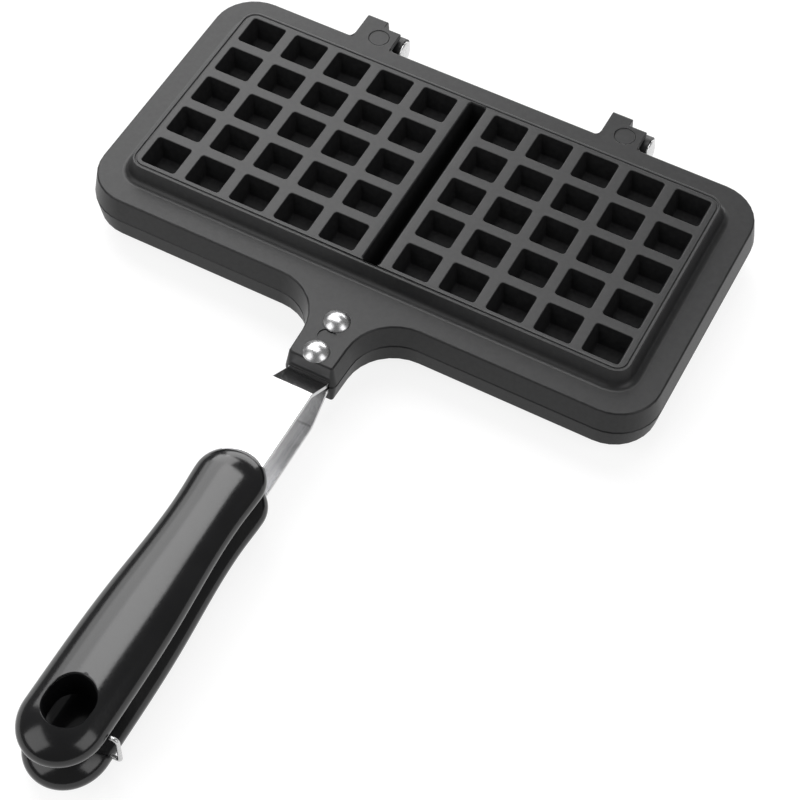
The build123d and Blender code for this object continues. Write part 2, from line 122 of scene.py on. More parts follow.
# Places of the pieces, from the frame
PLATE_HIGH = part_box("upper_plate")[1]
PARTING_Z = PLATE_HIGH.z/2
PLATE_Y = PLATE_HIGH.y - (HINGE_Y + KNUCKLE_R)*MM
HALF_TURN = Matrix.Rotation(pi, 4, "Y")
TURNED_OVER = (
    Matrix.Translation((0, 0, PARTING_Z)) @ HALF_TURN @ Matrix.Translation((0, 0, -PARTING_Z)))

# Grip: stations along its length as (distance from its front end, half width)
GRIP_LOW, GRIP_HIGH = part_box("upper_grip")
GRIP_FRONT_Y, GRIP_TAIL_Y = GRIP_HIGH.y, GRIP_LOW.y
GRIP_Z = PARTING_Z + 8.5*MM
GRIP_STATIONS = [
    (12.8*MM, 13.4*MM), (22.8*MM, 12.9*MM), (69.8*MM, 14.6*MM), (118.8*MM, 15.3*MM)]
GRIP_FLATNESS = 0.52
GRIP_SIDES = 120
GRIP_SIDE_STEPS = 130
GRIP_END_STEPS = 22

# Hanging hole of the upper grip
HOLE_Y = GRIP_FRONT_Y - 114.5*MM
HOLE_HALF_WIDTH = 8.2*MM
HOLE_HALF_LENGTH = 9.6*MM
HOLE_SIDES = 72
HOLE_LIP = 1.2*MM                 # radius of its lips
HOLE_LIP_DEGREES = 70             # their arc, and its height as a share of the radius
HOLE_LIP_RISE = 0.94

# Rivets, pins and latch wire
CHAMFER = 0.2*MM
DOME_EDGE_R = 0.3*MM
DOME_STEPS = 12
DOME_TIP_R = 0.02*MM
RIVET_HEAD = 2.95*MM
PIN_HEAD = 2.3*MM
WIRE_R = 0.8*MM
WIRE_SIDES = 20
WIRE_BEND_R = 1.7*MM
WIRE_BEND_STEPS = 12
WIRE_Y = GRIP_FRONT_Y - 116.2*MM
WIRE_Z = 7.2*MM                   # of its two ends, from the parting plane
WIRE_FOOT_X = 15.7*MM
WIRE_HEAD_R = 1.5*MM
WIRE_HEAD_HEIGHT = 0.9*MM

# Stage and lamps
FLOOR_HALF = 12
FLOOR_Z = -0.3*MM
FLOOR_GLOW = 0.84
LAMP_DISTANCE = 2.2
LAMP_TARGET = Vector((0, 0.03, 0))

# Camera, fitted to the fifty pockets and the plate's outlines
CAMERA_PLACE = (0.221750, -0.387482, 0.644942)
CAMERA_AZIMUTH = 25.137
CAMERA_ELEVATION = 54.860
CAMERA_ROLL = 3.057
LENS_MM = 94.388
SENSOR_MM = 36


def link(piece):
    """Puts an object in the scene."""
    bpy.context.scene.collection.objects.link(piece)
    return piece


def make_piece(name, mesh, body, material, stands_for=()):
    """Smooth piece that rides on a body and takes the place of CAD nodes."""
    mesh.name = name
    for polygon in mesh.polygons:
        polygon.use_smooth = True
    mesh.materials.clear()
    mesh.materials.append(material)
    piece = link(bpy.data.objects.new(name, mesh))
    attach(piece, body)
    if stands_for:
        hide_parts(*stands_for)
    return piece


def new_mesh(verts, faces):
    """Closed mesh with its faces turned outwards."""
    mesh = bpy.data.meshes.new("shape")
    mesh.from_pydata([tuple(v) for v in verts], [], faces)
    shape = bmesh.new()
    shape.from_mesh(mesh)
    bmesh.ops.recalc_face_normals(shape, faces=shape.faces)
    shape.to_mesh(mesh)
    shape.free()
    return mesh


def paint_dull_and_shade(mesh, domain, values):
    """Writes how dull a mesh is, from 0 to 1, for its material; in hollows, round the hanging hole
    and on the lower casting's sides this is painted shade.
    """
    mesh.attributes.new("dull_and_painted_shade", "FLOAT", domain)
    mesh.attributes["dull_and_painted_shade"].data.foreach_set("value", values)


def turned_over(mesh):
    """Copy of a mesh for the lower half."""
    copy = mesh.copy()
    copy.transform(TURNED_OVER)
    return copy


def soften(piece, width, segments=2, by_weight=False):
    """Rounds the sharp edges of a piece and lets its large faces keep their flat shading."""
    bevel = piece.modifiers.new("Edges", "BEVEL")
    bevel.width = width
    bevel.segments = segments
    bevel.limit_method = "WEIGHT" if by_weight else "ANGLE"
    bevel.angle_limit = radians(OTHER_EDGE_DEGREES)
    bevel.miter_outer = "MITER_ARC"
    bevel.use_clamp_overlap = not by_weight
    normals = piece.modifiers.new("Normals", "WEIGHTED_NORMAL")
    normals.weight = 80
    normals.keep_sharp = True


def whole_faces(node):
    """The mesh of a CAD node for editing, with its flat faces made whole again."""
    shape = bmesh.new()
    shape.from_mesh(nodes[node].data)
    bmesh.ops.remove_doubles(shape, verts=shape.verts, dist=1e-6)
    bmesh.ops.dissolve_limit(
        shape, angle_limit=radians(0.5), verts=shape.verts, edges=shape.edges)
    shape.normal_update()
    return shape


def finished(shape):
    """New mesh with an edited shape, which is freed."""
    mesh = bpy.data.meshes.new("shape")
    shape.to_mesh(mesh)
    shape.free()
    return mesh


def rings_to_mesh(rings):
    """Closed mesh with faces that join each ring of points to the next."""
    verts = [point for ring in rings for point in ring]
    count = len(rings[0])
    faces = [list(range(count)), [(len(rings) - 1)*count + i for i in range(count)]]
    for r in range(len(rings) - 1):
        for i in range(count):
            a = r*count + i
            b = r*count + (i + 1) % count
            faces.append([a, b, b + count, a + count])
    return new_mesh(verts, faces)


def turned(profile, place, sides=48):
    """Round body about the local Z axis of a place, with a profile of (radius, height)."""
    rings = []
    for radius, height in profile:
        angles = [2*pi*i/sides for i in range(sides)]
        rings.append([place @ Vector((radius*cos(a), radius*sin(a), height)) for a in angles])
    return rings_to_mesh(rings)


# Materials


class Surface:
    """A procedural material with a principled shader and helpers for its textures."""

    # Range of a noise texture that is spread over a material's values
    noise_range = (0.3, 0.7)

    def __init__(self, name, color, roughness, metallic=0.0):
        self.material = bpy.data.materials.new(name)
        self.material.use_nodes = True
        self.tree = self.material.node_tree
        self.shader = self.tree.nodes["Principled BSDF"]
        self.shader.inputs["Base Color"].default_value = (*color, 1)
        self.shader.inputs["Roughness"].default_value = roughness
        self.shader.inputs["Metallic"].default_value = metallic
        self.place = self.tree.nodes.new("ShaderNodeTexCoord")

    def noise(self, scale, detail, stretch=(1, 1, 1)):
        """Noise texture, drawn out along an axis whose stretch is below 1."""
        mapping = self.tree.nodes.new("ShaderNodeMapping")
        mapping.inputs["Scale"].default_value = stretch
        self.tree.links.new(self.place.outputs["Object"], mapping.inputs["Vector"])
        noise = self.tree.nodes.new("ShaderNodeTexNoise")
        noise.inputs["Scale"].default_value = scale
        noise.inputs["Detail"].default_value = detail
        self.tree.links.new(mapping.outputs["Vector"], noise.inputs["Vector"])
        return noise.outputs["Fac"]

    def color_between(self, amount, dark, light):
        """Takes the colour from dark to light with an amount."""
        ramp = self.tree.nodes.new("ShaderNodeValToRGB")
        for stop, position, color in zip(
                ramp.color_ramp.elements, self.noise_range, (dark, light)):
            stop.position = position
            stop.color = (*color, 1)
        self.tree.links.new(amount, ramp.inputs["Fac"])
        self.tree.links.new(ramp.outputs["Color"], self.shader.inputs["Base Color"])

    def spread(self, amount, socket, low, high):
        """Takes a shader input from low to high with an amount, and returns the node between."""
        node = self.tree.nodes.new("ShaderNodeMapRange")
        node.inputs["To Min"].default_value = low
        node.inputs["To Max"].default_value = high
        self.tree.links.new(amount, node.inputs["Value"])
        self.tree.links.new(node.outputs["Result"], self.shader.inputs[socket])
        return node

    def roughness_between(self, amount, low, high):
        """Takes the roughness from low to high with a noise."""
        node = self.spread(amount, "Roughness", low, high)
        node.inputs["From Min"].default_value = self.noise_range[0]
        node.inputs["From Max"].default_value = self.noise_range[1]

    def shine_between(self, plain, dull_and_painted_shade):
        """Takes the reflections from plain down where the mesh is painted: dull coating, and
        painted shade in hollows and round the hanging hole.
        """
        paint = self.tree.nodes.new("ShaderNodeAttribute")
        paint.attribute_name = "dull_and_painted_shade"
        self.spread(paint.outputs["Fac"], "Specular IOR Level", plain, dull_and_painted_shade)

    def bump(self, amount, strength, distance):
        """Raises the surface a little with an amount."""
        bump = self.tree.nodes.new("ShaderNodeBump")
        bump.inputs["Strength"].default_value = strength
        bump.inputs["Distance"].default_value = distance
        self.tree.links.new(amount, bump.inputs["Height"])
        self.tree.links.new(bump.outputs["Normal"], self.shader.inputs["Normal"])


def coating():
    """Black non-stick coating, satin, with a fine sprayed grain."""
    surface = Surface("coated_plate", color=(0.016, 0.016, 0.0165), roughness=0.4)
    # Painted shade: where the mesh is painted towards 1 (pocket and slot walls and floors, lower
    # casting's sides) the reflections are cut down
    surface.shine_between(plain=0.36, dull_and_painted_shade=0.03)
    grain = surface.noise(scale=2600, detail=2)
    cloud = surface.noise(scale=500, detail=4)
    surface.color_between(cloud, dark=(0.013, 0.013, 0.0135), light=(0.019, 0.019, 0.0195))
    surface.roughness_between(grain, low=0.34, high=0.44)
    surface.bump(grain, strength=0.25, distance=0.00004)
    return surface.material


def polished_steel():
    """Bright strap with faint lines along its length."""
    surface = Surface("strap_steel", color=(0.56, 0.56, 0.56), roughness=0.2, metallic=1.0)
    lines = surface.noise(scale=900, detail=3, stretch=(1, 0.04, 1))
    surface.color_between(lines, dark=(0.52, 0.52, 0.53), light=(0.60, 0.60, 0.60))
    surface.roughness_between(lines, low=0.16, high=0.26)
    surface.bump(lines, strength=0.08, distance=0.00002)
    return surface.material


def tumbled_aluminium():
    """Rivets with small dents from tumbling and from setting."""
    surface = Surface("rivet_metal", color=(0.78, 0.78, 0.78), roughness=0.3, metallic=1.0)
    dents = surface.noise(scale=400, detail=1)
    surface.color_between(dents, dark=(0.54, 0.54, 0.55), light=(0.66, 0.66, 0.66))
    surface.roughness_between(surface.noise(scale=2500, detail=2), low=0.25, high=0.33)
    surface.bump(dents, strength=0.05, distance=0.00006)
    return surface.material


def plain_steel(name, color, roughness, stretch):
    """Drawn or turned steel with lines one way."""
    surface = Surface(name, color, roughness, metallic=1.0)
    lines = surface.noise(scale=1500, detail=3, stretch=stretch)
    surface.color_between(lines, dark=tuple(0.85*c for c in color), light=color)
    surface.roughness_between(lines, low=roughness - 0.06, high=roughness + 0.08)
    surface.bump(lines, strength=0.15, distance=0.00002)
    return surface.material


def gloss_plastic():
    """Black heat-proof moulding with a faint orange peel."""
    surface = Surface("grip_plastic", color=(0.006, 0.006, 0.0065), roughness=0.2)
    cloud = surface.noise(scale=60, detail=3)
    surface.color_between(cloud, dark=(0.005, 0.005, 0.0055), light=(0.008, 0.008, 0.0085))
    surface.roughness_between(surface.noise(scale=1200, detail=2), low=0.13, high=0.19)
    # Painted shade: in the hanging hole and on the lower grip under it the reflections are cut
    # down
    surface.shine_between(plain=0.5, dull_and_painted_shade=0.02)
    surface.bump(surface.noise(scale=260, detail=2), strength=0.06, distance=0.0002)
    return surface.material


COATING = coating()
STRAP_STEEL = polished_steel()
RIVET_METAL = tumbled_aluminium()
GRIP_PLASTIC = gloss_plastic()
PIN_STEEL = plain_steel("pin_steel", (0.72, 0.72, 0.72), 0.3, (0.05, 1, 1))
WIRE_STEEL = plain_steel("wire_steel", (0.62, 0.62, 0.62), 0.28, (1, 0.05, 1))
SCREW_STEEL = plain_steel("screw_steel", (0.62, 0.62, 0.62), 0.35, (1, 1, 0.05))


# The grid block's outside


def at_plate(x, y, z):
    """Point of the upper casting in the frame."""
    return Vector((x*MM, y*MM + PLATE_Y, PARTING_Z + z*MM))


def rounded_ring(half_x, half_y, radius, z, steps, centre=(0, 0)):
    """Points round a rounded rectangle, anticlockwise."""
    ring = []
    for corner, (side_x, side_y) in enumerate(((1, 1), (-1, 1), (-1, -1), (1, -1))):
        middle_x = centre[0] + side_x*(half_x - radius)
        middle_y = centre[1] + side_y*(half_y - radius)
        for step in range(steps + 1):
            a = pi/2*(corner + step/steps)
            ring.append(at_plate(middle_x + radius*cos(a), middle_y + radius*sin(a), z))
    return ring


def arc(radius, turn, steps):
    """Fillet as points of (way along its flat side, depth below it), from the flat to the wall."""
    reach = radius*tan(turn/2)
    angles = [turn*step/steps for step in range(steps + 1)]
    return [(radius*sin(a) - reach, radius*(1 - cos(a))) for a in angles]


def add_bands(shape, rings, dull_and_painted_shade=0.0):
    """Joins rings of points with faces. Returns the corners of the first and the last ring."""
    paint = shape.faces.layers.float["dull_and_painted_shade"]
    made = [[shape.verts.new(point) for point in ring] for ring in rings]
    for low, high in zip(made, made[1:]):
        for i in range(len(low)):
            shape.faces.new([low[i - 1], low[i], high[i], high[i - 1]])[paint] = dull_and_painted_shade
    return made[0], made[-1]


def groove_wall():
    """Side of the groove as points of (way towards its middle, height), from its upper edge."""
    floor = BLOCK_TOP - GROOVE_DEPTH
    return [
        (-GROOVE_EDGE, BLOCK_TOP), (-GROOVE_EDGE_MIDDLE, BLOCK_TOP - GROOVE_EDGE_MIDDLE),
        (0, BLOCK_TOP - GROOVE_EDGE), (0, floor + GROOVE_FOOT[1]), (GROOVE_FOOT[0], floor)]


def block_walls(shape):
    """Cove, leaning wall, raised edge line and groove. Returns the inner edge of the groove."""
    turn = pi/2 - atan(BLOCK_LEAN/(BLOCK_TOP - RIM_TOP))
    cove = arc(COVE_R, turn, COVE_STEPS)
    edge = arc(BLOCK_EDGE_R, turn, BLOCK_EDGE_STEPS)
    profile = [(inset - BLOCK_LEAN, RIM_TOP + rise) for inset, rise in cove]
    profile += [(-inset, BLOCK_TOP - drop) for inset, drop in edge[::-1]]
    for side, at in ((1, LINE_WIDTH), (-1, LINE_WIDTH + GROOVE_WIDTH)):
        profile += [(at + side*way, z) for way, z in groove_wall()[::side]]
    rings = []
    for inset, z in profile:
        half_x, half_y, radius = [size - inset for size in (*BLOCK_HALF, BLOCK_CORNER)]
        rings.append(rounded_ring(half_x, half_y, radius, z, BLOCK_CORNER_STEPS))
    return add_bands(shape, rings)[1]


def hollow(shape, mouth, floor, floor_z, corner, edge_r, floor_r, centre=(0, 0)):
    """Tapered hollow from the block's top, with rounded edges. Returns its mouth."""
    depth = BLOCK_TOP - floor_z
    lean = (mouth[0] - floor[0])/2/depth
    turn = pi/2 - atan(lean)
    profile = [(inset - lean*drop, drop) for inset, drop in arc(edge_r, turn, HOLLOW_EDGE_STEPS)]
    for inset, rise in arc(floor_r, turn, HOLLOW_FLOOR_STEPS)[::-1]:
        profile.append((-inset - lean*rise, depth - rise))
    rings = []
    for inset, drop in profile:
        share = drop/depth
        half_x = (mouth[0] + (floor[0] - mouth[0])*share)/2 - inset
        half_y = (mouth[1] + (floor[1] - mouth[1])*share)/2 - inset
        radius = max(corner - inset - lean*drop, 0.5*corner)
        rings.append(rounded_ring(
            half_x, half_y, radius, BLOCK_TOP - drop, HOLLOW_CORNER_STEPS, centre))
    first = add_bands(shape, rings[:HOLLOW_EDGE_STEPS + 1])[0]
    # Painted shade: below the rounded edge the walls and the floor are painted 1, so they reflect
    # almost nothing
    last = add_bands(shape, rings[HOLLOW_EDGE_STEPS:], dull_and_painted_shade=1)[1]
    shape.faces.new(last)[shape.faces.layers.float["dull_and_painted_shade"]] = 1
    return first


def block_outside(shape):
    """The whole outside of the grid block, from the foot of its cove."""
    loops = [block_walls(shape), hollow(shape, **SLOT)]
    for side, column, row in product((-1, 1), range(-2, 3), range(-2, 3)):
        centre = (side*WAFFLE_CENTRE_X + column*PITCH[0], row*PITCH[1])
        loops.append(hollow(shape, **POCKET, centre=centre))
    edges = []
    for loop in loops:
        for i in range(len(loop)):
            ends = (loop[i - 1], loop[i])
            edges.append(shape.edges.get(ends) or shape.edges.new(ends))
    bmesh.ops.triangle_fill(shape, edges=edges, use_beauty=True, normal=(0, 0, 1))


# Castings and straps


def deepen_neck_mark(shape):
    """Lowers the floor of the neck's round mark, so that it shows."""
    corners = set()
    for face in shape.faces:
        middle = face.calc_center_median()
        above_mark = (middle.z - PARTING_Z)/MM - RIM_TOP + MARK_DEPTH
        in_neck = middle.y < PLATE_Y and face.normal.z > LEVEL_NORMAL
        if in_neck and abs(above_mark) < SAME_LEVEL:
            corners.update(face.verts)
    for corner in corners:
        corner.co.z -= MARK_DEEPER*MM


def roundness(edge):
    """How far an edge of the casting is rounded, in millimetres."""
    places = [v.co for v in edge.verts]
    ends = [(p.x/MM, (p.y - PLATE_Y)/MM, (p.z - PARTING_Z)/MM) for p in places]
    x, y, z = [sum(axis)/2 for axis in zip(*ends)]
    on_top = all(abs(end[2] - RIM_TOP) < SAME_LEVEL for end in ends)
    if y > LUG_START_Y:
        in_bore = all(np.hypot(end[1] - HINGE_Y, end[2]) < BORE_REACH for end in ends)
        return 0.0 if in_bore or z < NEAR_PARTING else FINE_EDGE_R
    if abs(x) < NECK_HALF_X and y < NECK_START_Y:
        return TOP_EDGE_R if on_top and y < NECK_END_Y else 0.0
    if on_top:
        return TOP_EDGE_R
    in_cavity = abs(x) < CAVITY_HALF[0] and abs(y) < CAVITY_HALF[1]
    if in_cavity and PEG_FOOT > z > NEAR_PARTING and abs(x) > RIDGE_HALF_X:
        return PEG_EDGE_R
    past_cavity = abs(x) > GUTTER_INNER[0] or abs(y) > GUTTER_INNER[1]
    in_gutter = past_cavity and abs(x) < GUTTER_OUTER[0] and abs(y) < GUTTER_OUTER[1]
    return FINE_EDGE_R if in_gutter and z < NEAR_PARTING else 0.0


def block_faces(shape):
    """Faces of the CAD plate that the finer outside of the grid block takes the place of."""
    foot = BLOCK_LEAN + COVE_R
    reach_x = (BLOCK_HALF[0] + foot)*MM
    reach_y = (BLOCK_HALF[1] + foot)*MM
    replaced = []
    for face in shape.faces:
        spots = [v.co for v in face.verts]
        inside = all(abs(p.x) < reach_x and abs(p.y - PLATE_Y) < reach_y for p in spots)
        if inside and face.normal.z > DOWNWARD_NORMAL:
            replaced.append(face)
    return replaced


def casting():
    """Upper casting: the CAD plate with a finer outside to its grid block and rounded edges."""
    shape = whole_faces("upper_plate")
    bmesh.ops.delete(shape, geom=block_faces(shape), context="FACES")
    deepen_neck_mark(shape)
    weight = shape.edges.layers.float.new("bevel_weight_edge")
    paint = shape.faces.layers.float.new("dull_and_painted_shade")
    for face in shape.faces:
        face[paint] = CASTING_DULL
    for edge in shape.edges:
        shared = len(edge.link_faces) == 2
        if shared and edge.calc_face_angle() > radians(CASTING_EDGE_DEGREES):
            amount = roundness(edge)
            edge[weight] = amount
            edge.smooth = amount > 0
    block_outside(shape)
    bmesh.ops.remove_doubles(shape, verts=shape.verts, dist=3e-6)
    bmesh.ops.recalc_face_normals(shape, faces=shape.faces)
    return finished(shape)


def plates():
    """Both castings. They are the same, one turned over, but the lower one's sides carry painted
    shade, which cuts their reflections down.
    """
    upper = casting()
    lower = turned_over(upper)
    # Painted shade on the lower casting's upright sides
    for face, paint in zip(lower.polygons, lower.attributes["dull_and_painted_shade"].data):
        past_x = abs(face.center.x) > SIDES_START[0]*MM
        past_y = abs(face.center.y - PLATE_Y) > SIDES_START[1]*MM
        if (past_x or past_y) and abs(face.normal.z) < UPRIGHT_NORMAL:
            paint.value = LOWER_SIDES_PAINTED_SHADE
    for half, mesh in zip(HALVES, (upper, lower)):
        piece = make_piece(
            half + "_casting", mesh, half + "_half", COATING, [half + "_plate"])
        soften(piece, MM, segments=3, by_weight=True)


def straps():
    """Steel straps with softened edges and rounded bends."""
    for half in HALVES:
        shape = whole_faces(half + "_strap")
        weight = shape.edges.layers.float.new("bevel_weight_edge")
        for edge in shape.edges:
            turn = degrees(edge.calc_face_angle(0))
            across = abs(edge.verts[0].co.x - edge.verts[1].co.x)
            if turn > STRAP_EDGE_DEGREES:
                edge[weight] = STRAP_EDGE_R
            elif turn > STRAP_BEND_DEGREES and across > STRAP_BEND_WIDTH:
                edge[weight] = STRAP_BEND_R
        piece = make_piece(
            half + "_steel_strap", finished(shape), half + "_half", STRAP_STEEL,
            [half + "_strap"])
        soften(piece, MM, segments=4, by_weight=True)


# Grips


def grip_outline():
    """Outline of the grip as (y, half width) from front to tail: a smooth curve, rounded ends."""
    places = [place for place, width in GRIP_STATIONS]
    widths = [width for place, width in GRIP_STATIONS]
    steps = np.diff(places)
    slopes = np.diff(widths)/steps
    bends = slopes/steps
    matrix = [[2/steps[0] + 2/steps[1], 1/steps[1]], [1/steps[1], 2/steps[1] + 2/steps[2]]]
    pull = [3*(bends[0] + bends[1]), 3*(bends[1] + bends[2])]
    tangents = [0, *np.linalg.solve(matrix, pull), 0]
    length = GRIP_FRONT_Y - GRIP_TAIL_Y
    quarter = [pi/2*i/GRIP_END_STEPS for i in range(1, GRIP_END_STEPS)]
    outline = [(places[0]*(1 - cos(a)), widths[0]*sin(a)) for a in quarter]
    for i in range(GRIP_SIDE_STEPS + 1):
        at = places[0] + (places[-1] - places[0])*i/GRIP_SIDE_STEPS
        k = min(max(int(np.searchsorted(places, at)) - 1, 0), len(steps) - 1)
        t = (at - places[k])/steps[k]
        width = widths[k]*(1 + 2*t)*(1 - t)**2 + widths[k + 1]*t*t*(3 - 2*t)
        width += steps[k]*(tangents[k]*t*(1 - t)**2 - tangents[k + 1]*t*t*(1 - t))
        outline.append((at, width))
    for a in quarter:
        outline.append((places[-1] + (length - places[-1])*sin(a), widths[-1]*cos(a)))
    return [(GRIP_FRONT_Y - at, half) for at, half in outline]


def grip_height(x, y, outline):
    """Height of the grip's top above its middle at a place in plan."""
    ys = [-p[0] for p in outline]
    half = np.interp(-y, ys, [p[1] for p in outline])
    return GRIP_FLATNESS*np.sqrt(max(half*half - x*x, 0))


def grip_bar(outline):
    """Oval bar with rounded ends."""
    rings = []
    for y, half in outline:
        angles = [2*pi*(i + 0.5)/GRIP_SIDES for i in range(GRIP_SIDES)]
        rings.append(
            [Vector((half*cos(a), y, GRIP_Z + GRIP_FLATNESS*half*sin(a))) for a in angles])
    return rings_to_mesh(rings)


def hole_cutter(outline):
    """Closed tool for the hanging hole that leaves rounded lips where it meets the grip."""
    lip = []
    for a in np.radians(range(0, HOLE_LIP_DEGREES + 1, 10)):
        lip.append((HOLE_LIP*(1 - cos(a)), HOLE_LIP*(sin(a) - HOLE_LIP_RISE)))
    clear_of_grip = (HOLE_LIP*2, HOLE_LIP*0.5)
    lip.append(clear_of_grip)
    levels = [(out, rise, -1) for out, rise in lip[::-1]] + [(out, rise, 1) for out, rise in lip]
    rings = []
    for out, rise, side in levels:
        ring = []
        for i in range(HOLE_SIDES):
            a = 2*pi*i/HOLE_SIDES
            straight = (HOLE_HALF_LENGTH - HOLE_HALF_WIDTH)*(1 if sin(a) > 0 else -1)
            edge_x = HOLE_HALF_WIDTH*cos(a)
            edge_y = HOLE_HALF_WIDTH*sin(a) + straight
            top = grip_height(edge_x, HOLE_Y + edge_y, outline)
            ring.append(Vector((
                edge_x + out*cos(a), HOLE_Y + edge_y + out*sin(a), GRIP_Z + side*(top + rise))))
        rings.append(ring)
    return rings_to_mesh(rings)


def cut_away(mesh, tool_mesh):
    """Mesh with a tool's shape taken out of it, and the edges of the cut kept sharp."""
    body = link(bpy.data.objects.new("body", mesh))
    tool = link(bpy.data.objects.new("tool", tool_mesh))
    cut = body.modifiers.new("Cut", "BOOLEAN")
    cut.object = tool
    cut.operation = "DIFFERENCE"
    cut.solver = "EXACT"
    bpy.context.view_layer.update()
    depsgraph = bpy.context.evaluated_depsgraph_get()
    result = bpy.data.meshes.new_from_object(body.evaluated_get(depsgraph))
    bpy.data.objects.remove(body)
    bpy.data.objects.remove(tool)
    shape = bmesh.new()
    shape.from_mesh(result)
    for edge in shape.edges:
        edge.smooth = edge.calc_face_angle(0) < radians(HOLE_EDGE_DEGREES)
    shape.to_mesh(result)
    shape.free()
    return result


def from_hole(spot, shift=0):
    """Distance in plan from the middle line of the hanging hole, which may be shifted."""
    past_middle = max(abs(spot.y - HOLE_Y - shift) - (HOLE_HALF_LENGTH - HOLE_HALF_WIDTH), 0)
    return np.hypot(spot.x, past_middle)


def painted_shade_in_hole(face):
    """Painted shade: 1 on the hanging hole's walls and round its lower mouth, 0 elsewhere on the
    upper grip.
    """
    margin = 0.02*MM
    round_mouth = 2*MM
    reach = HOLE_HALF_WIDTH + (margin if face.center.z > GRIP_Z else round_mouth)
    return 1.0 if from_hole(face.center) < reach else 0.0


def painted_shade_under_hole(vertex):
    """Painted shade: 1 on the lower grip's inner side under the hanging hole, fading out round it.
    """
    shift = 5*MM
    reach = 17*MM
    fade = 7*MM
    slope = 0.3
    nearness = (reach - from_hole(vertex.co, shift))/fade
    facing_up = (vertex.normal.z - slope)/slope
    return float(min(max(nearness, 0), 1)*min(max(facing_up, 0), 1))


def grips():
    """Both grips. Only the upper one has the hanging hole."""
    outline = grip_outline()
    bar = grip_bar(outline)
    lower = turned_over(bar)
    upper = cut_away(bar, hole_cutter(outline))
    # Painted shade in the hanging hole, and on the lower grip under it
    paint_dull_and_shade(upper, "FACE", [painted_shade_in_hole(face) for face in upper.polygons])
    paint_dull_and_shade(lower, "POINT", [painted_shade_under_hole(vertex) for vertex in lower.vertices])
    for half, mesh in zip(HALVES, (upper, lower)):
        make_piece(
            half + "_moulded_grip", mesh, half + "_half", GRIP_PLASTIC,
            [half + "_grip"])


# Metal pieces


def shank(foot_r, foot_height, shank_r, head_base):
    """Profile of a pin from its chamfered foot to the underside of its head."""
    return [
        (foot_r - CHAMFER, 0), (foot_r, CHAMFER), (foot_r, foot_height), (shank_r, foot_height),
        (shank_r, head_base)]


def dome(radius, edge, rise, base):
    """Profile of a domed head from its underside to its middle."""
    sphere_r = (radius**2 + rise**2)/(2*rise)
    centre = base + edge + rise - sphere_r
    profile = [(radius - DOME_EDGE_R, base), (radius, base + DOME_EDGE_R)]
    for step in range(DOME_STEPS):
        share = 1 - step/DOME_STEPS
        reach = share*(radius - DOME_TIP_R)
        profile.append((reach, centre + (sphere_r**2 - reach**2)**0.5))
    profile.append((DOME_TIP_R, base + edge + rise))
    return profile


def rivets():
    """Rivets over their whole length, with the domed heads on the pan's outside."""
    for half, end in product(HALVES, ("front", "back")):
        node = f"{half}_rivet_{end}"
        low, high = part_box(node)
        middle = (low + high)/2
        place = Matrix.Translation((middle.x, middle.y, low.z))
        if half == "lower":
            place = Matrix.Translation((middle.x, middle.y, high.z)) @ HALF_TURN
        base = high.z - low.z - RIVET_HEAD
        profile = shank(foot_r=4.0*MM, foot_height=0.75*MM, shank_r=2.5*MM, head_base=base)
        profile += dome(radius=5.2*MM, edge=0.4*MM, rise=2.5*MM, base=base)
        make_piece(
            node + "_metal", turned(profile, place), half + "_half", RIVET_METAL,
            [node])


def hinge_pins():
    """Hinge pins, with the domed heads at their right-hand ends."""
    for side in ("left", "right"):
        node = side + "_hinge_pin"
        low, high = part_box(node)
        middle = (low + high)/2
        place = Matrix.Translation((low.x, middle.y, PARTING_Z)) @ Matrix.Rotation(pi/2, 4, "Y")
        base = high.x - low.x - PIN_HEAD
        profile = shank(foot_r=3.6*MM, foot_height=1.1*MM, shank_r=2.5*MM, head_base=base)
        profile += dome(radius=5.7*MM, edge=0.8*MM, rise=1.5*MM, base=base)
        make_piece(
            node + "_metal", turned(profile, place), "lower_half", PIN_STEEL, [node])


def wire_route(low, high):
    """Middle line of the latch wire: pivot, arm and foot, with heights from the parting plane."""
    bend_x = high.x - WIRE_R - WIRE_BEND_R
    route = [Vector((low.x + WIRE_HEAD_HEIGHT, 0, -WIRE_Z))]
    for side, first in ((-1, -90), (1, 0)):
        centre = Vector((bend_x, 0, side*(WIRE_Z - WIRE_BEND_R)))
        for step in range(WIRE_BEND_STEPS + 1):
            a = radians(first + 90*step/WIRE_BEND_STEPS)
            route.append(centre + Vector((WIRE_BEND_R*cos(a), 0, WIRE_BEND_R*sin(a))))
    route.append(Vector((WIRE_FOOT_X, 0, WIRE_Z)))
    return route


def latch():
    """Round bent wire with a head at its pivot's end."""
    low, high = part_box("latch_wire")
    route = wire_route(low, high)
    rings = []
    for i, point in enumerate(route):
        along = (route[min(i + 1, len(route) - 1)] - route[max(i - 1, 0)]).normalized()
        across = Vector((along.z, 0, -along.x))
        ring = []
        for k in range(WIRE_SIDES):
            a = 2*pi*k/WIRE_SIDES
            offset = WIRE_R*(cos(a)*across + sin(a)*Vector((0, 1, 0)))
            ring.append(point + offset + Vector((0, WIRE_Y, PARTING_Z)))
        rings.append(ring)
    wire = make_piece(
        "bent_wire", rings_to_mesh(rings), "latch", WIRE_STEEL, ["latch_wire"])
    soften(wire, 0.1*MM)
    place = (
        Matrix.Translation((low.x, WIRE_Y, PARTING_Z - WIRE_Z)) @ Matrix.Rotation(pi/2, 4, "Y"))
    profile = [
        (WIRE_HEAD_R - CHAMFER, 0), (WIRE_HEAD_R, CHAMFER), (WIRE_HEAD_R, WIRE_HEAD_HEIGHT)]
    head = turned(profile, place, sides=24)
    make_piece("wire_head", head, "latch", WIRE_STEEL)


def screws():
    """Grip screws, as in the CAD model with softened edges."""
    for half in HALVES:
        mesh = finished(whole_faces(half + "_grip_screw"))
        piece = make_piece(
            half + "_cross_screw", mesh, half + "_half", SCREW_STEEL,
            [half + "_grip_screw"])
        soften(piece, 0.12*MM)


# Stage, light and camera


